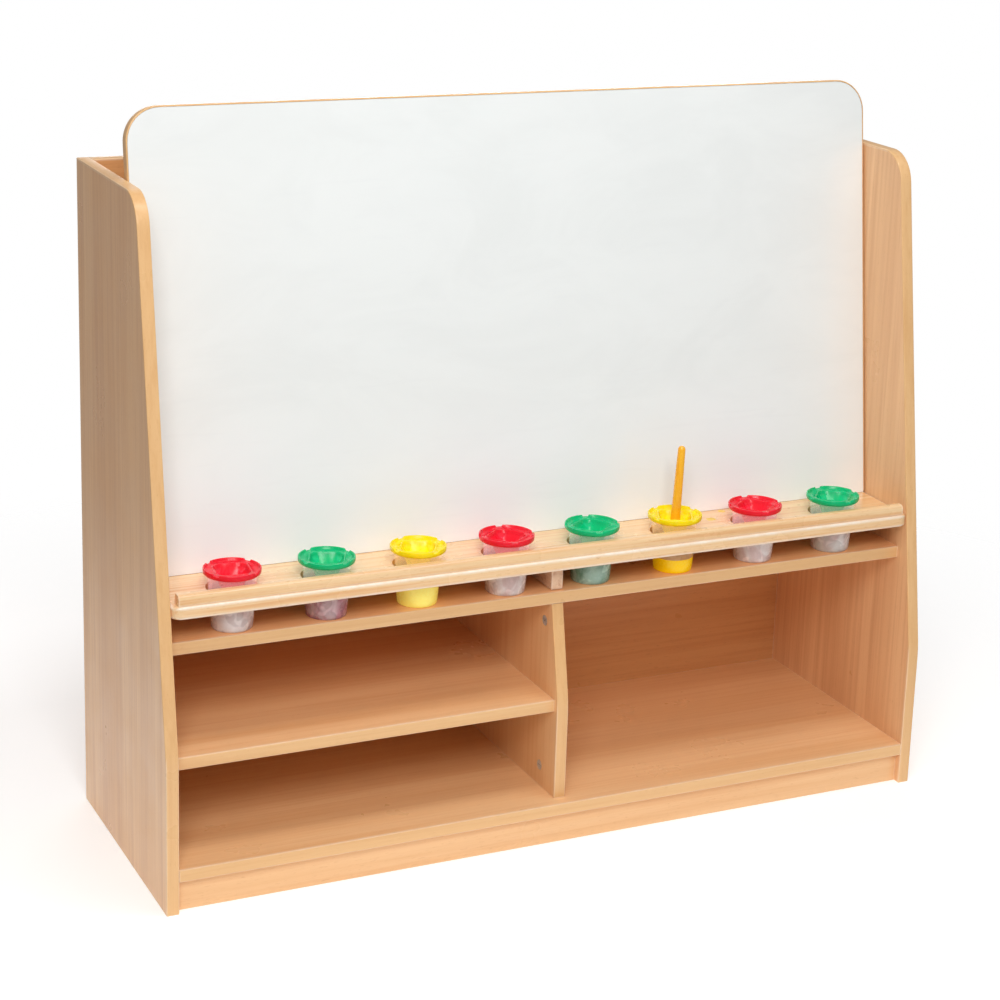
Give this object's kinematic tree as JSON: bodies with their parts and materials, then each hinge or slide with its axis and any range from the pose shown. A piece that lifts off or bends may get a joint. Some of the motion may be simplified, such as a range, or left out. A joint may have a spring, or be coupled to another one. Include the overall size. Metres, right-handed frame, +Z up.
{
  "type": "kids painting easel unit",
  "caption": "Low wooden painting easel for children: leaning white board, paint tray with lidded pots, and open storage bays below.",
  "frame": {"origin": "on the floor, at the middle of the unit's width and depth", "axes": "+X along the width, to the right of a child facing the board; +Y towards the back; +Z up"},
  "size_m": [1.2, 0.4, 1.066],
  "materials": {
    "beech_laminate": "satin beech-effect laminate on chipboard, grain along each panel",
    "edge_lipping": "satin beech-coloured plastic lipping",
    "solid_beech": "satin lacquered solid beech",
    "inner_timber": "unfinished",
    "dry_wipe_white": "smooth white dry-wipe laminate",
    "zinc_fitting": "dull zinc",
    "pot_clear": "translucent, slightly milky",
    "pot_pink_tint": "translucent, milky with a pink tint",
    "pot_grey_tint": "translucent, stained grey-green",
    "lid_red": "glossy moulded",
    "lid_green": "glossy moulded",
    "lid_yellow": "glossy moulded",
    "yellow_paint": "wet poster paint",
    "brush_lacquer": "glossy orange lacquer",
    "brush_metal": "polished crimped tube",
    "brush_hair": "coarse hog hair"
  },
  "bodies": {
    "carcass": {"left_side": "beech_laminate", "right_side": "beech_laminate", "back_panel": "beech_laminate", "base_shelf": "beech_laminate", "front_plinth": "beech_laminate", "mid_shelf": "beech_laminate", "trough_shelf": "beech_laminate", "centre_divider": "beech_laminate", "drawing_board": "beech_laminate", "left_side_edging": "edge_lipping", "right_side_edging": "edge_lipping", "back_panel_edging": "edge_lipping", "base_shelf_edging": "edge_lipping", "mid_shelf_edging": "edge_lipping", "trough_shelf_edging": "edge_lipping", "centre_divider_edging": "edge_lipping", "drawing_board_edging": "edge_lipping", "paint_tray": "solid_beech", "tray_lip": "solid_beech", "tray_support_block": "solid_beech", "left_board_batten": "inner_timber", "right_board_batten": "inner_timber", "mid_shelf_dowel_left_1": "inner_timber", "mid_shelf_dowel_left_2": "inner_timber", "mid_shelf_dowel_right_1": "inner_timber", "mid_shelf_dowel_right_2": "inner_timber", "drawing_board_face": "dry_wipe_white", "cam_lock_top_front": "zinc_fitting", "cam_lock_bottom_front": "zinc_fitting", "cam_lock_top_rear": "zinc_fitting", "cam_lock_bottom_rear": "zinc_fitting", "cam_bolt_top_front": "zinc_fitting", "cam_bolt_bottom_front": "zinc_fitting", "cam_bolt_top_rear": "zinc_fitting", "cam_bolt_bottom_rear": "zinc_fitting"},
    "pot_1": {"pot_1": "pot_clear"},
    "pot_2": {"pot_2": "pot_pink_tint"},
    "pot_3": {"pot_3": "pot_clear", "paint_3": "yellow_paint"},
    "pot_4": {"pot_4": "pot_clear"},
    "pot_5": {"pot_5": "pot_grey_tint"},
    "pot_6": {"pot_6": "pot_clear", "paint_6": "yellow_paint"},
    "pot_7": {"pot_7": "pot_clear"},
    "pot_8": {"pot_8": "pot_clear"},
    "lid_1": {"lid_1": "lid_red"},
    "lid_2": {"lid_2": "lid_green"},
    "lid_3": {"lid_3": "lid_yellow"},
    "lid_4": {"lid_4": "lid_red"},
    "lid_5": {"lid_5": "lid_green"},
    "lid_6": {"lid_6": "lid_yellow"},
    "lid_7": {"lid_7": "lid_red"},
    "lid_8": {"lid_8": "lid_green"},
    "brush": {"brush_handle": "brush_lacquer", "brush_ferrule": "brush_metal", "brush_bristles": "brush_hair"}
  },
  "joints": [
    {"name": "pot_1_lift", "type": "slide", "parent": "carcass", "child": "pot_1", "axis": [0, 0, 1], "range_m": [0, 0.12]},
    {"name": "pot_2_lift", "type": "slide", "parent": "carcass", "child": "pot_2", "axis": [0, 0, 1], "range_m": [0, 0.12]},
    {"name": "pot_3_lift", "type": "slide", "parent": "carcass", "child": "pot_3", "axis": [0, 0, 1], "range_m": [0, 0.12]},
    {"name": "pot_4_lift", "type": "slide", "parent": "carcass", "child": "pot_4", "axis": [0, 0, 1], "range_m": [0, 0.12]},
    {"name": "pot_5_lift", "type": "slide", "parent": "carcass", "child": "pot_5", "axis": [0, 0, 1], "range_m": [0, 0.12]},
    {"name": "pot_6_lift", "type": "slide", "parent": "carcass", "child": "pot_6", "axis": [0, 0, 1], "range_m": [0, 0.12]},
    {"name": "pot_7_lift", "type": "slide", "parent": "carcass", "child": "pot_7", "axis": [0, 0, 1], "range_m": [0, 0.12]},
    {"name": "pot_8_lift", "type": "slide", "parent": "carcass", "child": "pot_8", "axis": [0, 0, 1], "range_m": [0, 0.12]},
    {"name": "lid_1_pull", "type": "slide", "parent": "pot_1", "child": "lid_1", "axis": [0, 0, 1], "range_m": [0, 0.05]},
    {"name": "lid_2_pull", "type": "slide", "parent": "pot_2", "child": "lid_2", "axis": [0, 0, 1], "range_m": [0, 0.05]},
    {"name": "lid_3_pull", "type": "slide", "parent": "pot_3", "child": "lid_3", "axis": [0, 0, 1], "range_m": [0, 0.05]},
    {"name": "lid_4_pull", "type": "slide", "parent": "pot_4", "child": "lid_4", "axis": [0, 0, 1], "range_m": [0, 0.05]},
    {"name": "lid_5_pull", "type": "slide", "parent": "pot_5", "child": "lid_5", "axis": [0, 0, 1], "range_m": [0, 0.05]},
    {"name": "lid_6_pull", "type": "slide", "parent": "pot_6", "child": "lid_6", "axis": [0, 0, 1], "range_m": [0, 0.05]},
    {"name": "lid_7_pull", "type": "slide", "parent": "pot_7", "child": "lid_7", "axis": [0, 0, 1], "range_m": [0, 0.05]},
    {"name": "lid_8_pull", "type": "slide", "parent": "pot_8", "child": "lid_8", "axis": [0, 0, 1], "range_m": [0, 0.05]},
    {"name": "brush_lift", "type": "slide", "parent": "pot_6", "child": "brush", "axis": [0.0436, 0, 0.999], "range_m": [0, 0.12]}
  ]
}
